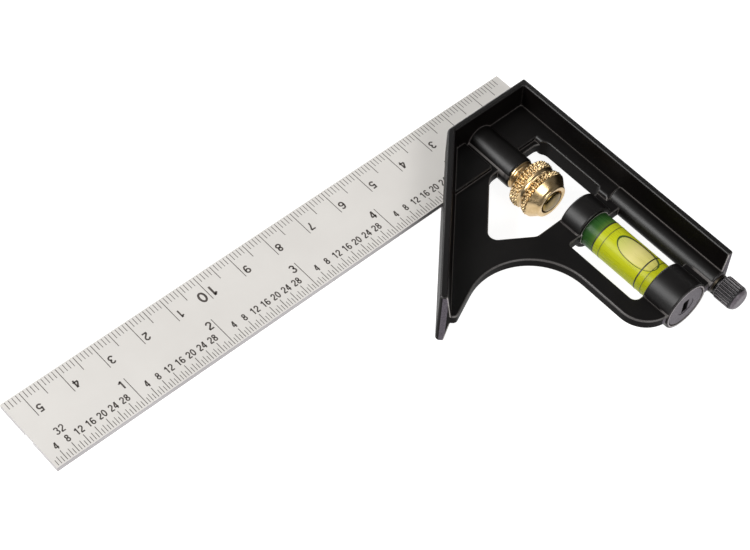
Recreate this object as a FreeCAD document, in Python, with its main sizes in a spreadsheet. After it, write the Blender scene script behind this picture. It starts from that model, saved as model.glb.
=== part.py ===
import FreeCAD, Part
import math
import os
import re

import Sketcher

# Combination square: a steel rule that slides in a die-cast head, with a lock bolt and nut, a spirit level
# and a scriber. The square lies flat. Millimetres, +Z up, origin at the bottom centre of its bounding box.
# +X runs along the rule towards the head's 90 degree face, +Y from the head to the rule.
# The head is the same on both sides of the plane half way up, where the rule, the bolt, the level and the
# scriber all have their centre planes.

DIMENSIONS = {
    # the rule
    "blade_length": 155.0,
    "blade_width": 21.6,
    "blade_thick": 1.5,
    "blade_y": 22.8,            # the rule's lower edge, on the floor of the slot
    "groove_width": 3.2,        # groove in the rule's back face, which the lock bolt hooks into
    "groove_depth": 0.7,
    # head casting: outline
    "head_thick": 17.6,
    "face_x": 76.75,            # the 90 degree face
    "slot_edge_y": 34.7,        # the edge that the rule comes out of
    "corner_x": 50.35,          # where the 45 degree face meets the slot edge
    "foot_sum": 12.55,          # x + y on the end of the 45 degree face, which is cut square to it
    "tip_x": 17.3,
    "arch_corner_y": 9.0,
    "arch_round": 16.4,
    "left_x": 48.1,
    "left_round": 8.0,
    "bottom_y": -36.6,
    "outer_round": 2.0,
    "foot_round": 1.0,
    "tip_round": 1.2,
    "sharp_round": 0.5,
    "web_round": 0.6,           # along the edges of the web
    # head casting: rims, web, raised pads
    "web_thick": 3.0,
    "pad_thick": 5.4,
    "slot_rim_top": 1.55,       # rim thickness at its top and where it meets the web
    "slot_rim_base": 2.75,
    "face_rim_top": 1.6,
    "face_rim_base": 2.8,
    "diagonal_rim_top": 1.9,
    "diagonal_rim_base": 3.0,
    "overrun": 10.0,            # how far a cutting shape runs past the metal it cuts
    "pad_y": 22.2,
    "pad_top_y": 33.0,
    "pad_gap": 5.1,             # from the lock's axis to the left pad
    "pad_overlap": 2.5,         # from the lock's axis to the right pad, which runs into the lock boss
    "pad_inset": 2.0,           # how far the pads run into the rims
    "pad_round": 0.6,
    "rib_x": 69.4,
    "rib_bottom_y": -3.0,
    "rib_round": 1.0,
    # nut window
    "window_top_y": 20.9,
    "window_right_x": 70.5,
    "window_bottom_y": 0.3,
    "window_left_x": 48.65,
    "window_vertex_x": 38.6,
    "window_vertex_y": 7.0,
    "window_diagonal": 31.6,    # x - y on the side beside the 45 degree face
    "window_small_round": 2.2,
    "window_large_round": 4.0,
    "window_right_round": 2.8,
    "window_corner_round": 1.3,
    # level window
    "level_left_x": 52.8,
    "level_right_x": 72.0,
    "level_top_y": -6.6,
    "level_bottom_y": -28.6,
    "level_round": 1.7,
    # slot for the rule
    "slot_clearance": 0.05,
    "slot_left_x": 30.0,
    # lock boss, bolt, nut and spring
    "lock_x": 59.7,
    "lock_boss_y": 17.5,
    "lock_boss_top_y": 34.0,
    "lock_boss_radius": 4.4,
    "lock_boss_top_radius": 4.25,
    "boss_round": 0.6,
    "lock_bore_radius": 3.3,
    "lock_floor_y": 19.0,
    "shank_radius": 2.5,
    "shank_clearance": 0.1,
    "thread_clearance": 0.02,
    "bolt_end_y": 5.65,
    "shoulder_y": 21.1,
    "shoulder_top_y": 21.9,
    "bolt_head_radius": 3.2,
    "bolt_top_y": 33.55,
    "lip_y": 32.05,
    "lip_height": 0.6,
    "spring_wire": 0.4,
    "spring_radius": 2.88,
    "spring_turns": 3.5,
    "nut_seat_y": 17.47,
    "nut_front_y": 6.05,
    "nut_flange_radius": 4.05,
    "nut_neck_radius": 3.8,
    "nut_ridge_radius": 6.75,
    "nut_waist_radius": 5.9,
    "nut_nose_radius": 4.75,
    "nut_recess_radius": 3.35,
    "nut_recess_depth": 1.2,
    # level
    "level_x": 61.9,
    "upper_boss_radius": 6.1,
    "upper_boss_top_y": 0.0,
    "upper_boss_y": -6.3,
    "lower_boss_radius": 6.7,
    "lower_boss_top_y": -28.5,
    "lower_boss_y": -37.0,
    "level_bore_radius": 4.78,
    "level_bore_top_y": -1.2,
    "vial_radius": 4.73,
    "vial_top_y": -1.4,
    "vial_bottom_y": -34.6,
    "vial_cavity_radius": 3.7,
    "vial_cavity_top_y": -3.4,
    "vial_seal_y": -31.6,
    "vial_fit": 0.02,
    "bubble_radius": 2.1,
    "bubble_half_length": 5.6,
    "bubble_y": -19.2,
    "bubble_rise": 3.0,
    "cap_radius": 5.9,
    "cap_face_radius": 5.65,
    "cap_recess_radius": 5.95,
    "cap_top_y": -35.0,
    "cap_bottom_y": -36.85,
    "cap_step_y": -36.3,
    "cap_slot_width": 2.0,
    "cap_slot_length": 4.3,
    "cap_slot_depth": 1.5,
    "cap_dimple_radius": 2.6,
    "cap_dimple_depth": 0.15,
    "cap_edge_round": 0.2,
    # scriber
    "scriber_x": 73.0,
    "scriber_boss_radius": 3.1,
    "scriber_boss_top_y": -2.7,
    "scriber_boss_y": -37.0,
    "scriber_bore_radius": 1.35,
    "scriber_bore_top_y": -4.4,
    "bush_radius": 2.0,
    "bush_top_y": -31.0,
    "bush_flange_radius": 2.5,
    "bush_bottom_y": -37.6,
    "bush_fit": 0.02,
    "needle_radius": 1.2,
    "needle_point_y": -5.0,
    "needle_shoulder_y": -11.5,
    "needle_tip_radius": 0.12,
    "needle_bottom_y": -43.0,
    "knob_neck_radius": 2.2,
    "knob_top_y": -37.75,
    "knob_shoulder_y": -38.3,
    "knob_radius": 3.2,
    "knob_bottom_y": -44.4,
    "knob_round": 0.9,
    "knob_rib_count": 15,
    "knob_rib_depth": 0.28,
}

# half the head's thickness: the height of the plane that everything is centred on
MIDDLE = "head_thick / 2"
# how far a line at 45 degrees moves along X when it is offset by one millimetre
DIAGONAL = "sqrt(2)"

document = FreeCAD.newDocument("combination_square")


def make_sheet():
    """The spreadsheet of driving dimensions, one named cell each."""
    sheet = document.addObject("Spreadsheet::Sheet", "dims")
    for row, (alias, value) in enumerate(DIMENSIONS.items(), start=1):
        sheet.set(f"A{row}", alias)
        sheet.set(f"B{row}", str(value))
        sheet.setAlias(f"B{row}", alias)
    document.recompute()
    return sheet


dims = make_sheet()


def bound(formula):
    """The formula with each dimension's name written as a reference to its cell."""
    def reference(word):
        return f"dims.{word[0]}" if word[0] in DIMENSIONS else word[0]

    return re.sub(r"[a-z][a-z_]*", reference, formula)


def value(formula):
    """What a formula comes to now, in millimetres."""
    return float(dims.evalExpression(bound(formula)))


def bind(item, target, formula):
    item.setExpression(target, bound(formula))


def new_body(name):
    body = document.addObject("PartDesign::Body", name)
    body.Label = name
    return body


def new_sketch(body, name, plane="XY_Plane", x="0", y="0", z="0"):
    """An empty sketch on one of the body's own planes, moved to x, y, z."""
    sketch = body.newObject("Sketcher::SketchObject", name)
    support = next(item for item in body.Origin.OriginFeatures if item.Role == plane)
    sketch.AttachmentSupport = [(support, "")]
    sketch.MapMode = "FlatFace"
    for letter, formula in (("x", x), ("y", y), ("z", z)):
        if formula != "0":
            bind(sketch, f"AttachmentOffset.Base.{letter}", formula)
    return sketch


def place_constraints(geometry, point, place):
    """The two constraints that put a point at its place, and the formula of each one that has a size."""
    found = []
    for kind, axis, formula in (("DistanceX", -2, place[0]), ("DistanceY", -1, place[1])):
        if formula == "0":
            found.append((Sketcher.Constraint("PointOnObject", geometry, point, axis), None))
        else:
            found.append((Sketcher.Constraint(kind, -1, 1, geometry, point, value(formula)), formula))
    return found


def draw_outline(sketch, corners):
    """A closed outline of straight sides. A corner is (x, y), or (x, y, radius) to round it with an arc."""
    places = [FreeCAD.Vector(value(corner[0]), value(corner[1]), 0) for corner in corners]
    count = len(corners)
    starts = []
    ends = []
    arcs = {}
    for index, corner in enumerate(corners):
        place = places[index]
        starts.append(place)
        ends.append(place)
        if len(corner) == 3:
            radius = value(corner[2])
            before = (places[index - 1] - place).normalize()
            after = (places[(index + 1) % count] - place).normalize()
            half_angle = before.getAngle(after) / 2
            run = radius / math.tan(half_angle)
            ends[index] = place + before * run
            starts[index] = place + after * run
            centre = place + (before + after).normalize() * (radius / math.sin(half_angle))
            arcs[index] = (centre, radius, before.cross(after).z > 0)
    for index in range(count):
        sketch.addGeometry(Part.LineSegment(starts[index], ends[(index + 1) % count]), False)
    rules = []
    for index, corner in enumerate(corners):
        side_in = (index - 1) % count
        side_out = index
        if index not in arcs:
            rules.append((Sketcher.Constraint("Coincident", side_in, 2, side_out, 1), None))
            rules += place_constraints(side_out, 1, corner)
            continue
        centre, radius, clockwise = arcs[index]
        first, last = (starts[index], ends[index]) if clockwise else (ends[index], starts[index])
        first_angle = math.atan2(first.y - centre.y, first.x - centre.x)
        last_angle = math.atan2(last.y - centre.y, last.x - centre.x)
        circle = Part.Circle(centre, FreeCAD.Vector(0, 0, 1), radius)
        arc = sketch.addGeometry(Part.ArcOfCircle(circle, first_angle, last_angle), False)
        mark = sketch.addGeometry(Part.Point(places[index]), True)
        arc_in, arc_out = (2, 1) if clockwise else (1, 2)
        rules.append((Sketcher.Constraint("Tangent", side_in, 2, arc, arc_in), None))
        rules.append((Sketcher.Constraint("Tangent", side_out, 1, arc, arc_out), None))
        rules.append((Sketcher.Constraint("Radius", arc, radius), corner[2]))
        rules.append((Sketcher.Constraint("PointOnObject", mark, 1, side_in), None))
        rules.append((Sketcher.Constraint("PointOnObject", mark, 1, side_out), None))
        rules += place_constraints(mark, 1, corner)
    sketch.addConstraint([rule for rule, formula in rules])
    for number, (rule, formula) in enumerate(rules):
        if formula:
            bind(sketch, f"Constraints[{number}]", formula)
    return sketch


def extrude(body, kind, sketch, length, side="Symmetric"):
    """A pad or pocket of a sketch, equally to both sides of it unless side says otherwise."""
    feature = body.newObject(f"PartDesign::{kind}", f"{sketch.Name}_{kind.lower()}")
    feature.Profile = sketch
    feature.SideType = side
    bind(feature, "Length", length)
    return feature


def turn(body, kind, name, axis_x, profile):
    """A Revolution or Groove about the line along Y at axis_x, half way up. The profile is (radius, y)."""
    sketch = draw_outline(new_sketch(body, name, x=axis_x, z=MIDDLE), profile)
    feature = body.newObject(f"PartDesign::{kind}", f"{name}_{kind.lower()}")
    feature.Profile = sketch
    feature.ReferenceAxis = (sketch, ["V_Axis"])
    feature.Angle = 360
    return feature


def round_bar(radius, low, high, low_round=None, high_round=None):
    """The profile of a solid round bar, with its ends rounded where a radius is given."""
    low_corner = (radius, low, low_round) if low_round else (radius, low)
    high_corner = (radius, high, high_round) if high_round else (radius, high)
    return [("0", low), low_corner, high_corner, ("0", high)]


def round_level_edges(body, feature, name, radius, thicknesses, wanted):
    """A fillet on the edges wanted() picks, out of those that lie flat on a plate this thick."""
    document.recompute()
    middle = value(MIDDLE)
    names = []
    for number, edge in enumerate(feature.Shape.Edges, start=1):
        flat = edge.BoundBox.ZLength < 1e-4
        height = abs(edge.CenterOfMass.z - middle)
        on_plate = any(abs(height - value(f"{thickness} / 2")) < 1e-4 for thickness in thicknesses)
        if flat and on_plate and wanted(edge.CenterOfMass):
            names.append(f"Edge{number}")
    fillet = body.newObject("PartDesign::Fillet", name)
    fillet.Base = (feature, names)
    bind(fillet, "Radius", radius)
    return fillet


# ---- head casting ----


def head_outline(body):
    """The full-thickness block, with the thumb arch, that everything else is cut from."""
    diagonal = "(corner_x - slot_edge_y)"
    corners = [
        ("face_x", "slot_edge_y", "sharp_round"),
        ("face_x", "bottom_y", "sharp_round"),
        ("left_x", "bottom_y", "left_round"),
        ("left_x", "arch_corner_y", "arch_round"),
        ("tip_x", "foot_sum - tip_x", "tip_round"),
        (f"({diagonal} + foot_sum) / 2", f"(foot_sum - {diagonal}) / 2", "foot_round"),
        ("corner_x", "slot_edge_y", "outer_round"),
    ]
    sketch = draw_outline(new_sketch(body, "head_outline", z=MIDDLE), corners)
    return extrude(body, "Pad", sketch, "head_thick")


def tray_corners(slot_rim, face_rim, diagonal_rim):
    """The inside of the three rims, running out past the head's open side."""
    low = "bottom_y - overrun"
    diagonal = f"corner_x - slot_edge_y + {diagonal_rim} * {DIAGONAL}"
    return [
        (f"slot_edge_y - {slot_rim} + {diagonal}", f"slot_edge_y - {slot_rim}", "sharp_round"),
        (f"{low} + {diagonal}", low),
        (f"face_x - {face_rim}", low),
        (f"face_x - {face_rim}", f"slot_edge_y - {slot_rim}", "sharp_round"),
    ]


def cut_tray(body, name, side):
    """The tray inside the rims, from the web out to the rims' edge, with sloping walls. side is + or -."""
    base = new_sketch(body, f"{name}_base", z=f"{MIDDLE} {side} web_thick / 2")
    draw_outline(base, tray_corners("slot_rim_base", "face_rim_base", "diagonal_rim_base"))
    mouth = new_sketch(body, f"{name}_mouth", z=f"{MIDDLE} {side} head_thick / 2")
    draw_outline(mouth, tray_corners("slot_rim_top", "face_rim_top", "diagonal_rim_top"))
    loft = body.newObject("PartDesign::SubtractiveLoft", f"{name}_loft")
    loft.Profile = base
    loft.Sections = [mouth]
    loft.Ruled = True
    return loft


def add_pads(body):
    """The raised pads that hold the rule, each side of the lock boss, and the rib beside the nut window."""
    rim_line = "corner_x - slot_edge_y + pad_inset"
    left = [
        ("lock_x - pad_gap", "pad_y", "pad_round"),
        ("lock_x - pad_gap", "pad_top_y"),
        (f"pad_top_y + {rim_line}", "pad_top_y"),
        (f"pad_y + {rim_line}", "pad_y"),
    ]
    right = [
        ("lock_x + pad_overlap", "pad_y"),
        ("face_x - pad_inset", "pad_y"),
        ("face_x - pad_inset", "pad_top_y"),
        ("lock_x + pad_overlap", "pad_top_y"),
    ]
    rib = [
        ("rib_x", "rib_bottom_y"),
        ("face_x - pad_inset", "rib_bottom_y"),
        ("face_x - pad_inset", "pad_top_y"),
        ("rib_x", "pad_top_y"),
    ]
    for name, corners in (("left_pad", left), ("right_pad", right), ("rib", rib)):
        sketch = draw_outline(new_sketch(body, name, z=MIDDLE), corners)
        feature = extrude(body, "Pad", sketch, "pad_thick")
    return feature


def cut_windows(body):
    nut_window = [
        ("window_right_x", "window_top_y", "window_right_round"),
        ("window_top_y + window_diagonal", "window_top_y", "window_large_round"),
        ("window_vertex_x", "window_vertex_y", "window_small_round"),
        ("window_left_x", "window_bottom_y", "window_small_round"),
        ("window_right_x", "window_bottom_y", "window_corner_round"),
    ]
    level_window = [
        ("level_right_x", "level_top_y"),
        ("level_left_x", "level_top_y", "sharp_round"),
        ("level_left_x", "level_bottom_y", "level_round"),
        ("level_right_x", "level_bottom_y"),
    ]
    for name, corners in (("nut_window", nut_window), ("level_window", level_window)):
        sketch = draw_outline(new_sketch(body, name, z=MIDDLE), corners)
        feature = extrude(body, "Pocket", sketch, "head_thick")
    return feature


def clear_of_rims(place):
    """Whether an edge centred here is away from the hollow corners along the foot of the rims."""
    diagonal = value(f"corner_x - slot_edge_y + diagonal_rim_base * {DIAGONAL}")
    gap = min(
        value("slot_edge_y - slot_rim_base") - place.y,
        value("face_x - face_rim_base") - place.x,
        (place.x - place.y - diagonal) / math.sqrt(2),
    )
    return gap > 0.3


def along_pads(place):
    return clear_of_rims(place) and place.y > value("pad_y - pad_round")


def along_rib(place):
    return clear_of_rims(place) and place.y < value("pad_y - pad_round")


def beside_window(place):
    """Whether an edge centred here is on the wall of one of the two windows."""
    beside_nut_window = (
        value("window_vertex_x") < place.x < value("window_right_x + 0.1")
        and value("window_bottom_y - 0.1") < place.y < value("window_top_y + 0.1")
    )
    beside_level_window = (
        value("level_left_x - 0.1") < place.x < value("level_right_x + 0.1")
        and value("level_bottom_y - 0.1") < place.y < value("level_top_y + 0.1")
    )
    return beside_nut_window or beside_level_window


def add_bosses(body):
    lock_profile = [
        ("0", "lock_boss_y"),
        ("lock_boss_radius", "lock_boss_y", "boss_round"),
        ("lock_boss_top_radius", "lock_boss_top_y"),
        ("0", "lock_boss_top_y"),
    ]
    turn(body, "Revolution", "lock_boss", "lock_x", lock_profile)
    upper = round_bar("upper_boss_radius", "upper_boss_y", "upper_boss_top_y", "sharp_round", "boss_round")
    turn(body, "Revolution", "upper_boss", "level_x", upper)
    lower = round_bar("lower_boss_radius", "lower_boss_y", "lower_boss_top_y", "sharp_round", "sharp_round")
    turn(body, "Revolution", "lower_boss", "level_x", lower)
    low, high = "scriber_boss_y", "scriber_boss_top_y"
    scriber = round_bar("scriber_boss_radius", low, high, "sharp_round", "boss_round")
    turn(body, "Revolution", "scriber_boss", "scriber_x", scriber)


def cut_bores(body):
    low = "lower_boss_y - overrun"
    high = "slot_edge_y + overrun"
    slot = [
        ("slot_left_x", "blade_y"),
        ("face_x + overrun", "blade_y"),
        ("face_x + overrun", high),
        ("slot_left_x", high),
    ]
    sketch = draw_outline(new_sketch(body, "slot", z=MIDDLE), slot)
    extrude(body, "Pocket", sketch, "blade_thick + 2 * slot_clearance")
    turn(body, "Groove", "lock_bore", "lock_x", round_bar("lock_bore_radius", "lock_floor_y", high))
    shank_hole = round_bar("shank_radius + shank_clearance", "lock_boss_y - 1", "lock_floor_y + 1")
    turn(body, "Groove", "shank_hole", "lock_x", shank_hole)
    turn(body, "Groove", "level_bore", "level_x", round_bar("level_bore_radius", low, "level_bore_top_y"))
    turn(body, "Groove", "cap_recess", "level_x", round_bar("cap_recess_radius", low, "cap_top_y"))
    needle_hole = round_bar("scriber_bore_radius", low, "scriber_bore_top_y")
    turn(body, "Groove", "scriber_bore", "scriber_x", needle_hole)
    bush_hole = round_bar("bush_radius + bush_fit", low, "bush_top_y")
    return turn(body, "Groove", "bush_hole", "scriber_x", bush_hole)


def make_head_casting():
    """The die-cast head: rims on three sides, a thin web with two windows, and bosses with bores."""
    body = new_body("head_casting")
    head_outline(body)
    cut_tray(body, "front_tray", "+")
    trays = cut_tray(body, "back_tray", "-")
    rims = round_level_edges(body, trays, "rim_rounds", "sharp_round", ["head_thick"], lambda place: True)
    round_level_edges(body, rims, "web_rounds", "web_round", ["web_thick"], clear_of_rims)
    pads = add_pads(body)
    beside_pads = round_level_edges(body, pads, "pad_rounds", "sharp_round", ["pad_thick"], along_pads)
    round_level_edges(body, beside_pads, "rib_rounds", "rib_round", ["pad_thick"], along_rib)
    windows = cut_windows(body)
    thicknesses = ["web_thick", "pad_thick"]
    round_level_edges(body, windows, "window_rounds", "sharp_round", thicknesses, beside_window)
    add_bosses(body)
    cut_bores(body)
    return body


# ---- rule ----


def make_blade():
    """The rule: a flat steel strip with a groove along the middle of its back face."""
    body = new_body("blade")
    end = "blade_length / 2"
    strip = [
        (f"-{end}", "blade_y"),
        (end, "blade_y"),
        (end, "blade_y + blade_width"),
        (f"-{end}", "blade_y + blade_width"),
    ]
    sketch = draw_outline(new_sketch(body, "strip", z=MIDDLE), strip)
    extrude(body, "Pad", sketch, "blade_thick")
    middle_y = "blade_y + blade_width / 2"
    groove = [
        (f"-{end} - overrun", f"{middle_y} - groove_width / 2"),
        (f"{end} + overrun", f"{middle_y} - groove_width / 2"),
        (f"{end} + overrun", f"{middle_y} + groove_width / 2"),
        (f"-{end} - overrun", f"{middle_y} + groove_width / 2"),
    ]
    sketch = draw_outline(new_sketch(body, "groove", z=f"{MIDDLE} - blade_thick / 2"), groove)
    extrude(body, "Pocket", sketch, "2 * groove_depth")
    return body


# ---- lock ----


def make_lock_bolt():
    """The bolt: a threaded shank, a shoulder for the spring, and a half-round head with a hooked lip."""
    body = new_body("lock_bolt")
    profile = [
        ("0", "bolt_end_y"),
        ("shank_radius", "bolt_end_y"),
        ("shank_radius", "shoulder_y"),
        ("bolt_head_radius", "shoulder_y"),
        ("bolt_head_radius", "bolt_top_y"),
        ("0", "bolt_top_y"),
    ]
    turn(body, "Revolution", "bolt_shape", "lock_x", profile)
    back_face = f"{MIDDLE} - blade_thick / 2"
    cuts = (
        ("flat_cut", "shoulder_top_y", "lip_y", f"{back_face} - slot_clearance"),
        ("lip_cut", "lip_y", "bolt_top_y", f"{back_face} + lip_height"),
    )
    for name, low, high, height in cuts:
        corners = [
            ("lock_x - overrun", low),
            ("lock_x + overrun", low),
            ("lock_x + overrun", high),
            ("lock_x - overrun", high),
        ]
        sketch = draw_outline(new_sketch(body, name, z=height), corners)
        pocket = extrude(body, "Pocket", sketch, "overrun", side="One side")
        pocket.Reversed = True
    return body


def make_lock_nut():
    """The brass nut: a flange on the boss, two round ridges for the fingers, and a nose with a recess."""
    body = new_body("lock_nut")
    bore = "shank_radius + thread_clearance"
    profile = [
        (bore, "nut_seat_y"),
        ("nut_flange_radius", "nut_seat_y"),
        ("nut_flange_radius", "nut_seat_y - 0.35"),
        ("nut_neck_radius", "nut_seat_y - 0.5"),
        ("nut_neck_radius + 0.2", "nut_seat_y - 1.0"),
        ("nut_ridge_radius - 0.9", "nut_seat_y - 2.7"),
        ("nut_ridge_radius", "nut_seat_y - 3.3"),
        ("nut_ridge_radius", "nut_seat_y - 5.0"),
        ("nut_waist_radius", "nut_seat_y - 5.6"),
        ("nut_waist_radius", "nut_seat_y - 6.5"),
        ("nut_ridge_radius", "nut_seat_y - 7.1"),
        ("nut_ridge_radius", "nut_seat_y - 8.6"),
        ("nut_nose_radius + 0.8", "nut_front_y + 1.4"),
        ("nut_nose_radius", "nut_front_y + 0.3"),
        ("nut_nose_radius - 0.3", "nut_front_y"),
        ("nut_recess_radius", "nut_front_y"),
        ("nut_recess_radius", "nut_front_y + nut_recess_depth"),
        (bore, "nut_front_y + nut_recess_depth"),
    ]
    turn(body, "Revolution", "nut_shape", "lock_x", profile)
    return body


def make_lock_spring():
    """The coil spring under the bolt's shoulder."""
    body = new_body("lock_spring")
    gap = "(spring_wire / 2 + thread_clearance)"
    wire = new_sketch(body, "wire", x="lock_x", y=f"lock_floor_y + {gap}", z=MIDDLE)
    radius = value("spring_wire / 2")
    place = FreeCAD.Vector(value("spring_radius"), 0, 0)
    circle = wire.addGeometry(Part.Circle(place, FreeCAD.Vector(0, 0, 1), radius), False)
    wire.addConstraint([
        Sketcher.Constraint("Radius", circle, radius),
        Sketcher.Constraint("DistanceX", -1, 1, circle, 3, place.x),
        Sketcher.Constraint("PointOnObject", circle, 3, -1),
    ])
    bind(wire, "Constraints[0]", "spring_wire / 2")
    bind(wire, "Constraints[1]", "spring_radius")
    helix = body.newObject("PartDesign::AdditiveHelix", "coil")
    helix.Profile = wire
    helix.ReferenceAxis = (wire, ["V_Axis"])
    helix.Mode = "height-turns-angle"
    bind(helix, "Turns", "spring_turns")
    bind(helix, "Height", f"shoulder_y - lock_floor_y - 2 * {gap}")
    return body


# ---- level ----


def make_vial_barrel():
    """The clear tube of the level, closed at its upper end."""
    body = new_body("vial_barrel")
    profile = round_bar("vial_radius", "vial_bottom_y", "vial_top_y", None, "sharp_round")
    turn(body, "Revolution", "barrel", "level_x", profile)
    cavity = round_bar("vial_cavity_radius", "vial_bottom_y - overrun", "vial_cavity_top_y")
    turn(body, "Groove", "cavity", "level_x", cavity)
    return body


def make_vial_liquid():
    """The liquid, with the hollow that the bubble takes at its top."""
    body = document.addObject("Part::Cylinder", "liquid_column")
    bind(body, "Radius", "vial_cavity_radius - vial_fit")
    bind(body, "Height", "vial_cavity_top_y - vial_seal_y - 2 * vial_fit")
    body.Placement.Rotation = FreeCAD.Rotation(FreeCAD.Vector(1, 0, 0), -90)
    bind(body, "Placement.Base.x", "level_x")
    bind(body, "Placement.Base.y", "vial_seal_y + vial_fit")
    bind(body, "Placement.Base.z", MIDDLE)
    bubble = document.addObject("Part::Ellipsoid", "bubble_hollow")
    bind(bubble, "Radius1", "bubble_radius * 0.45")
    bind(bubble, "Radius2", "bubble_radius")
    bind(bubble, "Radius3", "bubble_half_length")
    bind(bubble, "Placement.Base.x", "level_x")
    bind(bubble, "Placement.Base.y", "bubble_y")
    bind(bubble, "Placement.Base.z", f"{MIDDLE} + bubble_rise - 0.5")
    liquid = document.addObject("Part::Cut", "vial_liquid")
    liquid.Label = "vial_liquid"
    liquid.Base = body
    liquid.Tool = bubble
    return liquid


def make_vial_plug():
    """The plug that seals the open end of the tube."""
    body = new_body("vial_plug")
    profile = round_bar("vial_cavity_radius - vial_fit", "vial_bottom_y", "vial_seal_y")
    turn(body, "Revolution", "plug", "level_x", profile)
    return body


def make_vial_end_cap():
    """The cap in the mouth of the lower boss, with a dimple and a slot for a screwdriver."""
    body = new_body("vial_end_cap")
    profile = [
        ("0", "cap_bottom_y"),
        ("cap_face_radius", "cap_bottom_y", "cap_edge_round"),
        ("cap_face_radius", "cap_step_y"),
        ("cap_radius", "cap_step_y"),
        ("cap_radius", "cap_top_y"),
        ("0", "cap_top_y"),
    ]
    turn(body, "Revolution", "cap", "level_x", profile)
    dimple = round_bar("cap_dimple_radius", "cap_bottom_y - 1", "cap_bottom_y + cap_dimple_depth")
    turn(body, "Groove", "dimple", "level_x", dimple)
    slot = [
        ("level_x - cap_slot_width / 2", "cap_bottom_y - 1"),
        ("level_x + cap_slot_width / 2", "cap_bottom_y - 1"),
        ("level_x + cap_slot_width / 2", "cap_bottom_y + cap_slot_depth"),
        ("level_x - cap_slot_width / 2", "cap_bottom_y + cap_slot_depth"),
    ]
    sketch = draw_outline(new_sketch(body, "driver_slot", z=MIDDLE), slot)
    extrude(body, "Pocket", sketch, "cap_slot_length")
    return body


# ---- scriber ----


def make_scriber_bush():
    """The brass bush in the scriber boss, which the needle slides in."""
    body = new_body("scriber_bush")
    bore = "needle_radius + bush_fit"
    profile = [
        (bore, "bush_bottom_y"),
        ("bush_flange_radius", "bush_bottom_y"),
        ("bush_flange_radius", "scriber_boss_y - bush_fit"),
        ("bush_radius", "scriber_boss_y - bush_fit"),
        ("bush_radius", "bush_top_y - bush_fit"),
        (bore, "bush_top_y - bush_fit"),
    ]
    turn(body, "Revolution", "bush", "scriber_x", profile)
    return body


def make_scriber_needle():
    """The steel needle, with a long point."""
    body = new_body("scriber_needle")
    profile = [
        ("0", "needle_bottom_y"),
        ("needle_radius", "needle_bottom_y"),
        ("needle_radius", "needle_shoulder_y"),
        ("needle_tip_radius", "needle_point_y"),
        ("0", "needle_point_y"),
    ]
    turn(body, "Revolution", "needle", "scriber_x", profile)
    return body


def make_scriber_knob():
    """The knob on the needle: a neck, straight grooves for grip all round, and a domed end."""
    body = new_body("scriber_knob")
    profile = [
        ("0", "knob_bottom_y"),
        ("knob_radius", "knob_bottom_y", "knob_round"),
        ("knob_radius", "knob_shoulder_y"),
        ("knob_neck_radius", "knob_shoulder_y"),
        ("knob_neck_radius", "knob_top_y"),
        ("0", "knob_top_y"),
    ]
    turn(body, "Revolution", "knob", "scriber_x", profile)
    needle_hole = round_bar("needle_radius", "needle_bottom_y", "knob_top_y + 1")
    turn(body, "Groove", "needle_hole", "scriber_x", needle_hole)
    grip = body.newObject("PartDesign::SubtractiveCylinder", "grip_groove")
    bind(grip, "Radius", "knob_rib_depth * 1.3")
    bind(grip, "Height", "knob_shoulder_y - knob_bottom_y + 1")
    support = next(item for item in body.Origin.OriginFeatures if item.Role == "XZ_Plane")
    grip.AttachmentSupport = [(support, "")]
    grip.MapMode = "FlatFace"
    bind(grip, "AttachmentOffset.Base.x", "scriber_x")
    bind(grip, "AttachmentOffset.Base.y", f"{MIDDLE} + knob_radius")
    bind(grip, "AttachmentOffset.Base.z", "-knob_shoulder_y")
    pattern = body.newObject("PartDesign::PolarPattern", "grip_grooves")
    pattern.Originals = [grip]
    pattern.Axis = (body.getObject("knob"), ["V_Axis"])
    pattern.Angle = 360
    bind(pattern, "Occurrences", "knob_rib_count")
    body.Tip = pattern
    return body


# ---- checks and files ----


def check_document(parts):
    """Stops if any object failed, or if a sub-part is not one whole, closed, valid solid."""
    for item in document.Objects:
        if "Invalid" in item.State or "Error" in item.State:
            raise RuntimeError(f"{item.Name}: {item.State}")
        if item.TypeId == "Sketcher::SketchObject" and not item.FullyConstrained:
            raise RuntimeError(f"{item.Name} is not fully constrained")
    for part in parts:
        shape = part.Shape
        if shape.isNull() or not shape.isValid():
            raise RuntimeError(f"{part.Label} has no valid shape")
        if len(shape.Solids) != 1:
            raise RuntimeError(f"{part.Label} has {len(shape.Solids)} solids")


def main():
    parts = [
        make_head_casting(),
        make_blade(),
        make_lock_bolt(),
        make_lock_nut(),
        make_lock_spring(),
        make_vial_barrel(),
        make_vial_liquid(),
        make_vial_plug(),
        make_vial_end_cap(),
        make_scriber_bush(),
        make_scriber_needle(),
        make_scriber_knob(),
    ]
    document.recompute()
    check_document(parts)
    os.makedirs("parts", exist_ok=True)
    for part in parts:
        part.Shape.exportStep(f"parts/{part.Label}.step")
        print(f"{part.Label}: {part.Shape.Volume:.1f} mm3")


main()
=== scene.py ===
import math

import bmesh
import bpy
from mathutils import Matrix, Vector


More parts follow.
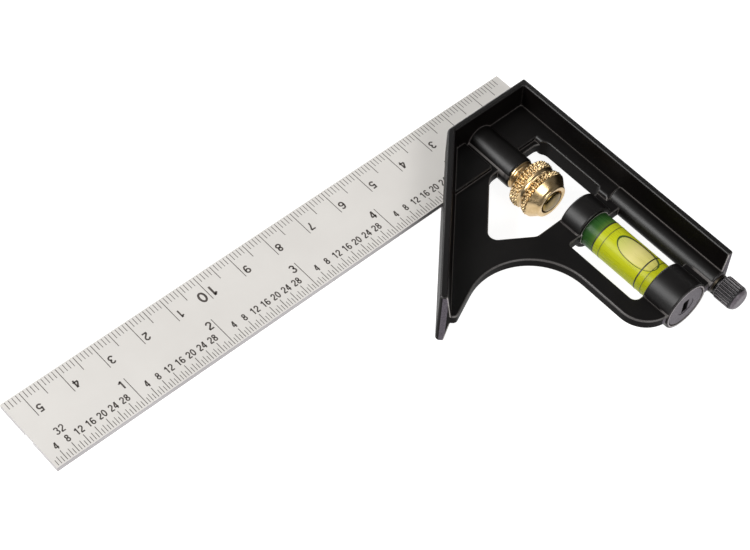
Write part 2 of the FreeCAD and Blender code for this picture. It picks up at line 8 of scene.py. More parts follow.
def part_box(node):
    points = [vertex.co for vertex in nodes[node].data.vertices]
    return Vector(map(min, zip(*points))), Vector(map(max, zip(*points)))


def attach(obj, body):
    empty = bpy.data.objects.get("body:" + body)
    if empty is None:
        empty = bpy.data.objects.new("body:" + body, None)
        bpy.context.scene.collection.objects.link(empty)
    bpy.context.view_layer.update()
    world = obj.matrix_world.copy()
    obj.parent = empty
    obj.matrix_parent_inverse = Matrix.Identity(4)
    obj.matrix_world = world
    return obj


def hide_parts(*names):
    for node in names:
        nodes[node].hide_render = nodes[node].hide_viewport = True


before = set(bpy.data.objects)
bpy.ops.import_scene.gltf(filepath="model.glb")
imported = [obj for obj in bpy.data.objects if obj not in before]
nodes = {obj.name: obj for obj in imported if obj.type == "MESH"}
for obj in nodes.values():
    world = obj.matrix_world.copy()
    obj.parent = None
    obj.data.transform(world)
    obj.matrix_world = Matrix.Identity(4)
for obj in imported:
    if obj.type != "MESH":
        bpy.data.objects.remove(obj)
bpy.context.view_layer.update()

# The frame is the CAD one: the rule lies along X, the head's lock and level run along Y. Lengths are in
# millimetres, and a mesh is scaled by MM once, when it becomes a piece. Only the last section, with the
# camera, the floor and the lights, is in metres.
MM = 0.001


def node_box(name):
    """A CAD node's lowest and highest corners, in millimetres."""
    low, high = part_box(name)
    return [value / MM for value in low], [value / MM for value in high]


# ---- where things are ----

blade_low, blade_high = node_box("blade")
nut_low, nut_high = node_box("lock_nut")
bolt_low, bolt_high = node_box("lock_bolt")
knob_low, knob_high = node_box("scriber_knob")
vial_low, vial_high = node_box("vial_barrel")
cap_low = node_box("vial_end_cap")[0]

MIDDLE = (blade_low[2] + blade_high[2]) / 2
LOCK_X = (nut_low[0] + nut_high[0]) / 2
LEVEL_X = (vial_low[0] + vial_high[0]) / 2
SCRIBER_X = (knob_low[0] + knob_high[0]) / 2


# ---- materials ----

BLACK = (0.0, 0.0, 0.0)
WHITE = (1.0, 1.0, 1.0)


class Shader:
    """A node material with one Principled surface, and short calls for its procedural detail. The values it
    starts with hold until a node drives them, and stay as the plain look in an export without baking."""

    def __init__(self, name, color, metallic=0.0, roughness=0.5, **sockets):
        self.material = bpy.data.materials.new(name)
        self.material.use_nodes = True
        self.tree = self.material.node_tree
        self.surface = self.tree.nodes["Principled BSDF"]
        self.surface.inputs["Base Color"].default_value = (*color, 1.0)
        self.surface.inputs["Metallic"].default_value = metallic
        self.surface.inputs["Roughness"].default_value = roughness
        for socket, value in sockets.items():
            self.surface.inputs[socket.replace("_", " ")].default_value = value
        coordinates = self.tree.nodes.new("ShaderNodeTexCoord")
        self.place = coordinates.outputs["Object"]
        self.normal = coordinates.outputs["Normal"]

    def link(self, start, end):
        self.tree.links.new(start, end)

    def feed(self, socket, source):
        """source drives one of the surface's own inputs."""
        self.link(source, self.surface.inputs[socket])

    def noise(self, size_mm, detail=3.0, stretch=(1, 1, 1)):
        """Noise whose features are about size_mm across, longer along an axis with stretch over 1."""
        mapping = self.tree.nodes.new("ShaderNodeMapping")
        mapping.inputs["Scale"].default_value = [1 / (size_mm * MM * part) for part in stretch]
        self.link(self.place, mapping.inputs["Vector"])
        noise = self.tree.nodes.new("ShaderNodeTexNoise")
        noise.inputs["Scale"].default_value = 1.0
        noise.inputs["Detail"].default_value = detail
        noise.inputs["Roughness"].default_value = 0.55
        self.link(mapping.outputs["Vector"], noise.inputs["Vector"])
        return noise.outputs["Fac"]

    def ramp(self, source, stops):
        """A colour ramp: stops are (position, colour)."""
        ramp = self.tree.nodes.new("ShaderNodeValToRGB")
        elements = ramp.color_ramp.elements
        while len(elements) < len(stops):
            elements.new(0.5)
        for element, (position, color) in zip(elements, stops):
            element.position = position
            element.color = (*color, 1.0)
        self.link(source, ramp.inputs["Fac"])
        return ramp.outputs["Color"]

    def scaled(self, source, low, high, source_low=0.0, source_high=1.0):
        """source, which runs from source_low to source_high, mapped to run from low to high."""
        spread = self.tree.nodes.new("ShaderNodeMapRange")
        spread.inputs["From Min"].default_value = source_low
        spread.inputs["From Max"].default_value = source_high
        spread.inputs["To Min"].default_value = low
        spread.inputs["To Max"].default_value = high
        self.link(source, spread.inputs["Value"])
        return spread.outputs["Result"]

    def part(self, vector, axis):
        """The part of a vector along X, Y or Z."""
        split = self.tree.nodes.new("ShaderNodeSeparateXYZ")
        self.link(vector, split.inputs["Vector"])
        return split.outputs[axis]

    def sum_above(self, vector, weights, limit):
        """1 where the vector's weighted sum is above the limit, 0 elsewhere."""
        dot = self.tree.nodes.new("ShaderNodeVectorMath")
        dot.operation = "DOT_PRODUCT"
        dot.inputs[1].default_value = weights
        self.link(vector, dot.inputs[0])
        above = self.tree.nodes.new("ShaderNodeMath")
        above.operation = "GREATER_THAN"
        above.inputs[1].default_value = limit
        self.link(dot.outputs["Value"], above.inputs[0])
        return above.outputs["Value"]

    def join(self, operation, *values):
        """One or two values put through a maths operation."""
        joined = self.tree.nodes.new("ShaderNodeMath")
        joined.operation = operation
        for value, socket in zip(values, joined.inputs):
            self.link(value, socket)
        return joined.outputs["Value"]

    def combined(self, operation, first, second):
        """Two colours put together, part by part, with a maths operation."""
        total = self.tree.nodes.new("ShaderNodeVectorMath")
        total.operation = operation
        self.link(first, total.inputs[0])
        self.link(second, total.inputs[1])
        return total.outputs["Vector"]

    def near(self, inside, reach_mm, edge, edge_color, clear, clear_color=BLACK):
        """A colour that follows outer edges (inside) or inner corners. The clear share of what lies within
        reach falls towards them: the colour is edge_color where it is under edge, clear_color over clear."""
        corner = self.tree.nodes.new("ShaderNodeAmbientOcclusion")
        corner.inside = inside
        corner.samples = 8
        corner.inputs["Distance"].default_value = reach_mm * MM
        return self.ramp(corner.outputs["AO"], [(edge, edge_color), (clear, clear_color)])

    def mixed(self, factor, first, second):
        """first where factor is 0, second where it is 1."""
        mix = self.tree.nodes.new("ShaderNodeMix")
        mix.data_type = "RGBA"
        self.link(factor, mix.inputs["Factor"])
        self.link(first, mix.inputs["A"])
        self.link(second, mix.inputs["B"])
        return mix.outputs["Result"]

    def color(self, source, stops):
        self.feed("Base Color", self.ramp(source, stops))

    def roughness(self, source, low, high):
        self.feed("Roughness", self.scaled(source, low, high))

    def bump(self, source, depth_mm, strength):
        """Bumps on top of the bumps that the surface already has."""
        bump = self.tree.nodes.new("ShaderNodeBump")
        bump.inputs["Distance"].default_value = depth_mm * MM
        bump.inputs["Strength"].default_value = strength
        self.link(source, bump.inputs["Height"])
        previous = self.surface.inputs["Normal"].links
        if previous:
            self.link(previous[0].from_socket, bump.inputs["Normal"])
        self.feed("Normal", bump.outputs["Normal"])


def grey_ends(shader):
    """1 on the ends of the head that face -Y, and on the rim at the foot of the 45 degree face."""
    facing = 0.97       # the least cosine that counts as facing a way
    ends_y = -36.4      # y is below this on the ends
    foot_sum = 12.8     # x + y is below this on the foot's end
    rim_gap = 18.7      # x - y is below this on its rim
    slope = math.sqrt(0.5)
    low_ends = shader.join(
        "MULTIPLY",
        shader.sum_above(shader.normal, (0, -1, 0), facing),
        shader.sum_above(shader.place, (0, -1, 0), -ends_y * MM),
    )
    foot_end = shader.join(
        "MULTIPLY",
        shader.sum_above(shader.normal, (-slope, -slope, 0), facing),
        shader.sum_above(shader.place, (-1, -1, 0), -foot_sum * MM),
    )
    foot_rim = shader.join("MULTIPLY", foot_end, shader.sum_above(shader.place, (-1, 1, 0), -rim_gap * MM))
    return shader.join("ADD", low_ends, foot_rim)


def edge_lines(shader, tilt):
    """Painted highlights: light lines along the outer edges and in the inner corners, and a soft band of
    painted highlight on the web's rounded edges.
    """
    # painted highlight: light lines along the outer, rounded edges
    wear_and_sheen = shader.near(True, 0.5, 0.56, (0.400, 0.375, 0.360), 0.78)
    # painted highlight: light lines in the inner corners, where the fillets catch the light
    corner_highlight = shader.near(False, 0.5, 0.55, (0.130, 0.118, 0.112), 0.78)
    # painted highlight: a soft band on the web's rounded edges
    band = shader.near(True, 1.5, 0.62, (0.170, 0.158, 0.152), 0.90)
    rounded_edge = shader.ramp(tilt, [(0.12, BLACK), (0.40, WHITE), (0.85, WHITE), (0.96, BLACK)])
    web_half = 2.0      # half of the web's thickness, and a little more
    below = shader.sum_above(shader.place, (0, 0, -1), -(MIDDLE + web_half) * MM)
    above = shader.sum_above(shader.place, (0, 0, 1), (MIDDLE - web_half) * MM)
    at_web = shader.combined("MULTIPLY", rounded_edge, shader.join("MULTIPLY", below, above))
    soft = shader.combined("MULTIPLY", band, at_web)
    return shader.combined("ADD", shader.combined("ADD", wear_and_sheen, corner_highlight), soft)


def head_paint():
    """Black paint, grey at the ends, with painted highlights along the edges and in the inner corners, and
    shinier where it faces up or down.
    """
    shader = Shader("head_paint", (0.004, 0.004, 0.004), roughness=0.42, Specular_IOR_Level=0.2)
    patches = shader.noise(9.0, detail=4.0)
    grain = shader.noise(0.45, detail=4.0)
    black = shader.ramp(patches, [(0.30, (0.0018, 0.0013, 0.0012)), (0.72, (0.0032, 0.0024, 0.0022))])
    grey = shader.ramp(grain, [(0.30, (0.055, 0.048, 0.058)), (0.72, (0.115, 0.100, 0.118))])
    tilt = shader.join("ABSOLUTE", shader.part(shader.normal, "Z"))
    plain = shader.mixed(grey_ends(shader), black, grey)
    shader.feed("Base Color", shader.combined("ADD", plain, edge_lines(shader, tilt)))
    shader.feed("Specular IOR Level", shader.scaled(tilt, 0.04, 0.36, 0.12, 0.5))
    shader.roughness(patches, 0.36, 0.46)
    shader.bump(grain, 0.010, 0.5)
    shader.bump(shader.noise(6.0, detail=1.0), 0.05, 0.3)
    return shader.material


def rule_steel():
    """Pale steel, brushed along the rule, with painted shade on its cut edges, the faces that look sideways.
    """
    shader = Shader("rule_steel", (0.76, 0.75, 0.73), metallic=0.12, roughness=0.46)
    grain = shader.noise(0.16, detail=4.0, stretch=(14, 1, 1))
    cloud = shader.noise(18.0, detail=3.0)
    face = shader.ramp(cloud, [(0.28, (0.665, 0.640, 0.607)), (0.72, (0.708, 0.684, 0.650))])
    # painted shade: the sideways faces darker than the faces that look up or down
    side_shade = shader.ramp(cloud, [(0.28, (0.36, 0.34, 0.345)), (0.72, (0.44, 0.42, 0.425))])
    facing_up, facing_down = [shader.sum_above(shader.normal, (0, 0, way), 0.7) for way in (1, -1)]
    shader.feed("Base Color", shader.mixed(shader.join("ADD", facing_up, facing_down), side_shade, face))
    shader.roughness(grain, 0.40, 0.54)
    shader.bump(grain, 0.004, 0.5)
    return shader.material


def mark_ink():
    shader = Shader("mark_ink", (0.045, 0.035, 0.030), roughness=0.6)
    wear = shader.noise(0.8, detail=4.0)
    shader.color(wear, [(0.30, (0.035, 0.028, 0.024)), (0.75, (0.085, 0.070, 0.060))])
    shader.roughness(wear, 0.5, 0.72)
    return shader.material


def brass(name, light, dark, rough):
    """Turned brass, tarnished in patches, with painted shade in its inner corners."""
    shader = Shader(name, light, metallic=1.0, roughness=rough)
    tarnish = shader.ramp(shader.noise(2.2, detail=4.0), [(0.30, dark), (0.62, light)])
    # painted shade: darker in the inner corners and recesses
    corner_shade = shader.near(False, 0.4, 0.30, (0.16, 0.11, 0.06), 0.72, WHITE)
    shader.feed("Base Color", shader.combined("MULTIPLY", tarnish, corner_shade))
    turning = shader.noise(0.12, detail=3.0, stretch=(18, 1, 18))
    shader.roughness(turning, rough - 0.04, rough + 0.06)
    shader.bump(turning, 0.0015, 0.5)
    return shader.material


def spring_wire():
    shader = Shader("spring_wire", (0.52, 0.52, 0.53), metallic=1.0, roughness=0.3)
    drawn = shader.noise(0.2, detail=3.0)
    shader.roughness(drawn, 0.22, 0.42)
    shader.color(drawn, [(0.3, (0.45, 0.45, 0.46)), (0.7, (0.58, 0.58, 0.59))])
    return shader.material


def needle_steel():
    shader = Shader("needle_steel", (0.3, 0.3, 0.31), metallic=0.35, roughness=0.3)
    ground = shader.noise(0.1, detail=3.0, stretch=(12, 1, 12))
    shader.roughness(ground, 0.18, 0.36)
    shader.color(ground, [(0.3, (0.20, 0.20, 0.21)), (0.7, (0.30, 0.30, 0.31))])
    shader.bump(ground, 0.003, 0.5)
    return shader.material


def cap_metal():
    """The cap's grey face, with painted shade that makes its slot black inside."""
    shader = Shader("cap_metal", (0.06, 0.054, 0.066), roughness=0.5, Specular_IOR_Level=0.35)
    face_depth = 0.34
    grain = shader.noise(0.35, detail=4.0)
    face = shader.ramp(grain, [(0.32, (0.058, 0.050, 0.060)), (0.70, (0.125, 0.110, 0.126))])
    # painted shade: black below the cap's face, in the slot
    inside = shader.ramp(grain, [(0.32, (0.004, 0.004, 0.004)), (0.70, (0.008, 0.007, 0.008))])
    deep = shader.sum_above(shader.place, (0, 1, 0), (cap_low[1] + face_depth) * MM)
    shader.feed("Base Color", shader.mixed(deep, face, inside))
    shader.roughness(grain, 0.45, 0.65)
    shader.bump(grain, 0.02, 0.7)
    return shader.material


def knob_black():
    """Black metal, with a greyer domed end and painted highlights on the crests of the ribs."""
    shader = Shader("knob_black", (0.016, 0.015, 0.017), roughness=0.42, Specular_IOR_Level=0.35)
    dome_depth = 0.75
    wear_and_sheen = shader.noise(0.4, detail=4.0)
    black = shader.ramp(wear_and_sheen, [(0.35, (0.008, 0.007, 0.008)), (0.75, (0.022, 0.020, 0.022))])
    grey = shader.ramp(wear_and_sheen, [(0.35, (0.070, 0.058, 0.068)), (0.75, (0.150, 0.130, 0.148))])
    domed = shader.sum_above(shader.place, (0, -1, 0), -(knob_low[1] + dome_depth) * MM)
    # painted highlight: light lines on the crests of the ribs
    crests = shader.near(True, 0.35, 0.42, (0.200, 0.185, 0.190), 0.72)
    shader.feed("Base Color", shader.combined("ADD", shader.mixed(domed, black, grey), crests))
    shader.roughness(wear_and_sheen, 0.34, 0.52)
    shader.bump(wear_and_sheen, 0.012, 0.5)
    return shader.material


def tinted(name, clear, stops):
    """Tinted fluid with a little painted glow, which stands in for the light that passes through it. The
    tint
    runs along Y: stops are (y in mm, colour). Paler streaks of painted light run the same way, and painted
    shade makes the sides darker than the top."""
    low, high = -36.0, 0.0
    # painted light: a small glow in the fluid's own colour, though it is no lamp
    shader = Shader(name, stops[0][1], roughness=0.3, IOR=1.3, Transmission_Weight=clear,
                    Emission_Strength=0.16, Specular_IOR_Level=0.15)
    along = shader.scaled(shader.part(shader.place, "Y"), 0.0, 1.0, low * MM, high * MM)
    placed = [((y - low) / (high - low), color) for y, color in stops]
    lighter = [(at, [1.25 * part + 0.01 for part in color]) for at, color in placed]
    # painted light: paler streaks along Y
    streaks = shader.scaled(shader.noise(0.9, detail=3.0, stretch=(1, 14, 1)), -0.25, 0.9)
    # painted shade: the sides darker than the top
    shade = shader.ramp(shader.part(shader.normal, "Z"), [(0.0, (0.62, 0.66, 0.55)), (0.75, WHITE)])
    streaked = shader.mixed(streaks, shader.ramp(along, placed), shader.ramp(along, lighter))
    blend = shader.combined("MULTIPLY", streaked, shade)
    shader.feed("Base Color", blend)
    shader.feed("Emission Color", blend)
    shader.roughness(streaks, 0.24, 0.36)
    return shader.material


def line_print(name, dark, light):
    shader = Shader(name, dark, roughness=0.5)
    shader.color(shader.noise(0.6, detail=3.0), [(0.35, dark), (0.75, light)])
    return shader.material


def floor_white():
    """White that glows, so that the ground is even."""
    glow = 0.93
    shader = Shader("floor_white", (0.4, 0.4, 0.4), roughness=0.9, Specular_IOR_Level=0.1)
    shader.color(shader.noise(60.0), [(0.3, (0.395, 0.395, 0.395)), (0.7, (0.405, 0.405, 0.405))])
    shader.surface.inputs["Emission Color"].default_value = (*WHITE, 1.0)
    shader.surface.inputs["Emission Strength"].default_value = glow
    return shader.material


BRASS = brass("nut_brass", (0.72, 0.535, 0.30), (0.53, 0.375, 0.185), 0.28)
# The bolt's brass is a much darker copy of the nut's: painted shade for its tip, down in the nut's recess.
SHADED_BOLT_BRASS = brass("bolt_brass_shaded", (0.27, 0.185, 0.055), (0.12, 0.080, 0.024), 0.28)
# The bush's brass is nearly black: painted shade for the dark gap between the boss and the knob.
SHADED_BUSH_BRASS = brass("bush_brass_shaded", (0.075, 0.062, 0.045), (0.030, 0.026, 0.020), 0.5)
INK = mark_ink()
FLUID = tinted("level_fluid", 0.25, [
    (-34.0, (0.35, 0.38, 0.008)),
    (-24.0, (0.44, 0.45, 0.008)),
    (-10.35, (0.44, 0.47, 0.012)),
    (-10.15, (0.080, 0.145, 0.022)),
    (-8.5, (0.026, 0.092, 0.016)),
    (-6.3, (0.014, 0.056, 0.012)),
])
BUBBLE = tinted("level_bubble", 0.15, [
    (-27.0, (0.43, 0.40, 0.085)),
    (-20.0, (0.57, 0.51, 0.19)),
    (-13.0, (0.38, 0.42, 0.075)),
])
BUBBLE_RIM = tinted("level_bubble_rim", 0.2, [
    (-27.0, (0.07, 0.11, 0.018)),
    (-22.0, (0.075, 0.060, 0.030)),
    (-17.0, (0.070, 0.064, 0.028)),
    (-13.5, (0.03, 0.085, 0.012)),
])
LINE = line_print("line_black", (0.008, 0.008, 0.008), (0.02, 0.02, 0.02))
FAINT_LINE = line_print("line_olive", (0.06, 0.07, 0.01), (0.10, 0.12, 0.02))


def paint(obj, material):
    obj.data.materials.clear()
    obj.data.materials.append(material)


# ---- mesh helpers ----


def new_object(name, data):
    made = bpy.data.objects.new(name, data)
    bpy.context.scene.collection.objects.link(made)
    return made


def add_piece(name, mesh, material, body, replaced=()):
    """A finished mesh as a piece that rides on a body. Its vertices are in millimetres until now."""
    mesh.transform(Matrix.Scale(MM, 4))
    piece = new_object(name, mesh)
    paint(piece, material)
    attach(piece, body)
    if replaced:
        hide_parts(*replaced)


def to_mesh(build, sharp_degrees=38.0):
    """The finished bmesh as a smooth mesh, with its sharp edges kept sharp."""
    for face in build.faces:
        face.smooth = True
    for edge in build.edges:
        if len(edge.link_faces) == 2:
            edge.smooth = edge.calc_face_angle(0.0) < math.radians(sharp_degrees)
    mesh = bpy.data.meshes.new("piece")
    build.to_mesh(mesh)
    build.free()
    return mesh


def band_of_faces(build, first, second):
    """Four-sided faces between two closed rings of as many vertices."""
    for step in range(len(first)):
        after = (step + 1) % len(first)
        build.faces.new([first[step], first[after], second[after], second[step]])


def fan_of_faces(build, ring, peak):
    """Three-sided faces from a closed ring to one vertex."""
    for step in range(len(ring)):
        build.faces.new([ring[step], ring[(step + 1) % len(ring)], peak])


def lathe(profile, axis_x, segments, shape=None):
    """A mesh turned about the line along Y at axis_x, half way up the square. The profile is a list of
    (radius, y), whose ends are both on the axis or are joined to each other. shape(angle, radius, y) gives
    the radius at one vertex."""
    build = bmesh.new()
    rings = []
    for radius, y in profile:
        if radius == 0:
            rings.append([build.verts.new((axis_x, y, MIDDLE))])
            continue
        ring = []
        for step in range(segments):
            angle = 2 * math.pi * step / segments
            out = shape(angle, radius, y) if shape else radius
            place = (axis_x + out * math.cos(angle), y, MIDDLE + out * math.sin(angle))
            ring.append(build.verts.new(place))
        rings.append(ring)
    pairs = list(zip(rings, rings[1:]))
    if len(rings[0]) > 1:
        pairs.append((rings[-1], rings[0]))
    for first, second in pairs:
        if len(first) == 1:
            fan_of_faces(build, second, first[0])
        elif len(second) == 1:
            fan_of_faces(build, first, second[0])
        else:
            band_of_faces(build, first, second)
    bmesh.ops.recalc_face_normals(build, faces=build.faces)
    return to_mesh(build)


def dense(profile, step):
    """The profile with points added so that none are further apart than step."""
    points = []
    for (r0, y0), (r1, y1) in zip(profile, profile[1:]):
        count = max(1, math.ceil(math.hypot(r1 - r0, y1 - y0) / step))
        points += [(r0 + (r1 - r0) * k / count, y0 + (y1 - y0) * k / count) for k in range(count)]
    return points + [profile[-1]]


def rounded(profile, radius):
    """The profile with each corner but its ends replaced by a small curve."""
    steps = 3
    points = [profile[0]]
    for before, corner, after in zip(profile, profile[1:], profile[2:]):
        a, b, c = Vector(before), Vector(corner), Vector(after)
        reach = min(radius, (a - b).length * 0.45, (c - b).length * 0.45)
        start = b + (a - b).normalized() * reach
        end = b + (c - b).normalized() * reach
        for step in range(steps + 1):
            t = step / steps
            points.append(tuple(start * (1 - t) ** 2 + b * 2 * t * (1 - t) + end * t ** 2))
    return points + [profile[-1]]


# ---- the rule's marks ----

# The figures are strokes of even width, drawn in a box 1 tall and FIGURE_WIDE wide. A stroke is a list of
# points, or (centre x, centre y, radius x, radius y, first angle, last angle) for part of an ellipse.
FIGURE_WIDE = 0.6
FIGURE_STEP = 0.67
SPINE = [(0.49, 0.80), (0.41, 0.90), (0.30, 0.93), (0.18, 0.86), (0.10, 0.68), (0.08, 0.45), (0.085, 0.30)]
FIGURES = {
    "0": [(0.30, 0.50, 0.215, 0.43, 0, 360)],
    "1": [[(0.10, 0.76), (0.22, 0.80), (0.30, 0.87), (0.335, 0.98)], [(0.36, 1.0), (0.36, 0.0)]],
    "2": [(0.30, 0.70, 0.205, 0.23, 175, -38), [(0.46, 0.56), (0.30, 0.38), (0.13, 0.20), (0.09, 0.07)],
          [(0.05, 0.065), (0.54, 0.065)]],
    "3": [(0.29, 0.73, 0.185, 0.20, 165, -90), (0.29, 0.29, 0.215, 0.225, 90, -165)],
    "4": [[(0.41, 1.0), (0.41, 0.0)], [(0.38, 0.96), (0.08, 0.34)], [(0.04, 0.28), (0.57, 0.28)]],
    "5": [[(0.51, 0.93), (0.17, 0.93), (0.12, 0.49)], (0.29, 0.325, 0.22, 0.255, 145, -160)],
    "6": [(0.30, 0.295, 0.215, 0.23, 0, 360), SPINE],
    "7": [[(0.05, 0.93), (0.55, 0.93)], [(0.52, 0.90), (0.38, 0.62), (0.28, 0.34), (0.23, 0.0)]],
    "8": [(0.30, 0.735, 0.175, 0.195, 0, 360), (0.30, 0.28, 0.215, 0.215, 0, 360)],
    "9": [(0.30, 0.705, 0.215, 0.23, 0, 360), [(FIGURE_WIDE - x, 1 - y) for x, y in SPINE]],
}

# How numbers are set: (shift along X from their tick, y of their middle, height, widening, stroke width,
# upside down). Here and in the ticks, x runs from the rule's left end and y from its lower edge.
CENTIMETRES = (1.45, 15.15, 2.3, 1.1, 0.41, True)
TEN_ZERO = (-1.75, 15.5, 3.0, 1.22, 0.56, True)
TEN_ONE = (1.35, 15.5, 3.0, 0.95, 0.56, True)
PARTS_OF_INCH = (0.0, 4.8, 1.95, 0.92, 0.33, False)
INCHES = (-1.4, 8.15, 2.35, 1.1, 0.42, False)
UNIT_OF_PARTS = (6.3, 7.8, 2.1, 0.95, 0.32, False)

# The kinds of tick: (every so many marks, length, width). A mark is of the first kind that it fits.
MM_TICKS = ((10, 8.0, 0.18), (5, 4.5, 0.18), (1, 2.45, 0.155))
INCH_TICKS = ((32, 9.35, 0.18), (4, 3.3, 0.18), (2, 2.5, 0.155), (1, 1.95, 0.155))
INCH = 25.4
MM_INSET = 0.3
INCH_INSET = 0.35


def stroke_points(stroke):
    """(points, closed) for one stroke of a figure."""
    if isinstance(stroke, list):
        return [Vector(point) for point in stroke], False
    x, y, rx, ry, first, last = stroke
    closed = abs(last - first) == 360
    count = 20
    turns = [math.radians(first + (last - first) * step / count) for step in range(count + (not closed))]
    return [Vector((x + rx * math.cos(turn), y + ry * math.sin(turn))) for turn in turns], closed


def add_ribbon(build, points, closed, width):
    """A flat strip of even width along the points."""
    count = len(points)
    left = []
    right = []
    for index, point in enumerate(points):
        before = points[index - 1] if closed or index > 0 else None
        after = points[(index + 1) % count] if closed or index < count - 1 else None
        into = (point - before).normalized() if before else (after - point).normalized()
        out = (after - point).normalized() if after else into
        along = (into + out).normalized()
        side = Vector((-along.y, along.x)) * (width / 2 / max(0.5, along.dot(out)))
        left.append(build.verts.new((*(point + side), 0)))
        right.append(build.verts.new((*(point - side), 0)))
    for index in range(count if closed else count - 1):
        after = (index + 1) % count
        build.faces.new([right[index], right[after], left[after], left[index]])


def add_number(build, text, x, y, height, wide, weight, turned):
    """A number centred on x, y, upside down if turned. wide stretches it; weight is its stroke width."""
    advance = FIGURE_STEP * height * wide
    start = -(advance * (len(text) - 1) + FIGURE_WIDE * height * wide) / 2
    sign = -1 if turned else 1
    for index, figure in enumerate(text):
        for stroke in FIGURES[figure]:
            points, closed = stroke_points(stroke)
            places = [Vector((x + sign * (start + advance * index + point.x * height * wide),
                              y + sign * (point.y - 0.5) * height)) for point in points]
            add_ribbon(build, places, closed, weight)


def tick_kind(count, kinds):
    """(length, width) of the mark with this count."""
    return next((length, width) for every, length, width in kinds if count % every == 0)


def metric_marks():
    """(ticks, labels) of the millimetre scale, which counts from the right end and hangs from the upper
    edge. A tick is (x, low y, high y, width), a label (text, x of its tick, how it is set)."""
    length = blade_high[0] - blade_low[0]
    edge = blade_high[1] - blade_low[1]
    ticks = []
    for count in range(2, round(length)):
        reach, width = tick_kind(count, MM_TICKS)
        ticks.append((length - count, edge - reach, edge - MM_INSET, width))
    labels = []
    for number in range(1, int(length / 10) + 1):
        x = length - 10 * number
        if number == 10:
            labels.append(("0", x, TEN_ZERO))
            labels.append(("1", x, TEN_ONE))
        else:
            labels.append((str(number % 10), x, CENTIMETRES))
    return ticks, labels


def inch_marks():
    """(ticks, labels) of the inch scale, which counts from the left end and stands on the lower edge."""
    length = blade_high[0] - blade_low[0]
    ticks = []
    labels = []
    for count in range(1, int(length * 32 / INCH)):
        x = count * INCH / 32
        reach, width = tick_kind(count, INCH_TICKS)
        ticks.append((x, INCH_INSET, reach, width))
        if count % 4 == 0 and count % 32:
            labels.append((str(count % 32), x, PARTS_OF_INCH))
    for number in range(1, int(length / INCH) + 1):
        labels.append((str(number), number * INCH, INCHES))
    labels.append(("32", 0.0, UNIT_OF_PARTS))
    return ticks, labels


def add_marks(name, front):
    """The marks of the front face or of the back face, inlaid in the rule."""
    depth = 0.03
    proud = 0.008
    build = bmesh.new()
    scales = (metric_marks(), inch_marks())
    for ticks, _ in scales:
        for x, low, high, width in ticks:
            left, right = x - width / 2, x + width / 2
            corners = [(left, low), (right, low), (right, high), (left, high)]
            build.faces.new([build.verts.new((*corner, 0)) for corner in corners])
    for _, labels in scales:
        for text, x, (shift, *setting) in labels:
            add_number(build, text, x + shift, *setting)
    bmesh.ops.recalc_face_normals(build, faces=build.faces)
    for face in build.faces:
        if face.normal.z < 0:
            face.normal_flip()
    raised = bmesh.ops.extrude_face_region(build, geom=list(build.faces))
    moved = [item for item in raised["geom"] if isinstance(item, bmesh.types.BMVert)]
    bmesh.ops.translate(build, verts=moved, vec=(0, 0, depth))
    bmesh.ops.recalc_face_normals(build, faces=build.faces)
    mesh = to_mesh(build, sharp_degrees=20.0)
    if front:
        place = Matrix.Translation((blade_low[0], blade_low[1], blade_high[2] + proud - depth))
    else:
        flip = Matrix.Rotation(math.pi, 4, "X")
        place = Matrix.Translation((blade_low[0], blade_high[1], blade_low[2] - proud + depth)) @ flip
    mesh.transform(place)
    add_piece(name, mesh, INK, "rule")


add_marks("rule_marks_front", True)
add_marks("rule_marks_back", False)


# ---- lock nut and bolt ----

# The nut is knurled between these distances from its seat, where it is thicker than RIDGE_RADIUS.
RIDGES = ((2.85, 5.35), (6.85, 8.75))
RIDGE_RADIUS = 5.9

# The bolt's shank, the length of its tip, and the heights (y) at which its parts end or begin.
SHANK_RADIUS = 2.5
TIP_LENGTH = 0.8
THREAD_TOP = 18.0
SHOULDER_LOW = 21.1
HEAD_LOW = 21.9
LIP_LOW = 32.05


def nut_radius(angle, radius, y):
    """The nut's surface, with rows of small points knurled into its two ridges."""
    points_round = 30
    row_gap = 0.96
    knurl_depth = 0.66
    run_out = 0.2
    down = nut_high[1] - y
    for top, bottom in RIDGES:
        if top <= down <= bottom and radius > RIDGE_RADIUS:
            edge = min(1.0, (down - top) / run_out, (bottom - down) / run_out)
            across = points_round * angle
            along = math.pi * (down - (top + bottom) / 2) / row_gap
            points = (0.5 + 0.5 * math.cos(across + along)) * (0.5 + 0.5 * math.cos(across - along))
            return radius - knurl_depth * edge * (1.0 - points ** 0.6)
    return radius


def make_nut():
    """The nut: a flange and neck at its seat, two ridges with a waist between them, and a hollow nose."""
    seat, front = nut_high[1], nut_low[1]
    bore = 2.53
    coarse = [
        (4.05, seat), (4.05, seat - 0.35), (3.8, seat - 0.42), (3.8, seat - 0.85), (4.0, seat - 1.05),
        (5.6, seat - 2.55), (6.3, seat - 2.8), (6.62, seat - 3.25), (6.75, seat - 4.1), (6.62, seat - 4.95),
        (6.25, seat - 5.35), (5.85, seat - 5.65), (5.8, seat - 6.05), (5.9, seat - 6.5), (6.3, seat - 6.8),
        (6.65, seat - 7.15), (6.75, seat - 7.85), (6.65, seat - 8.5), (6.45, seat - 8.85),
        (5.5, front + 1.4), (4.9, front + 0.75), (4.75, front + 0.35), (4.55, front + 0.05), (4.35, front),
    ]
    inside = [(3.7, front), (3.45, front + 0.12), (3.35, front + 1.15), (bore, front + 1.2), (bore, seat)]
    outline = dense(rounded(coarse, 0.22), 0.12) + inside
    mesh = lathe(outline, LOCK_X, 396, nut_radius)
    add_piece("lock_nut_detailed", mesh, BRASS, "nut", ["lock_nut"])


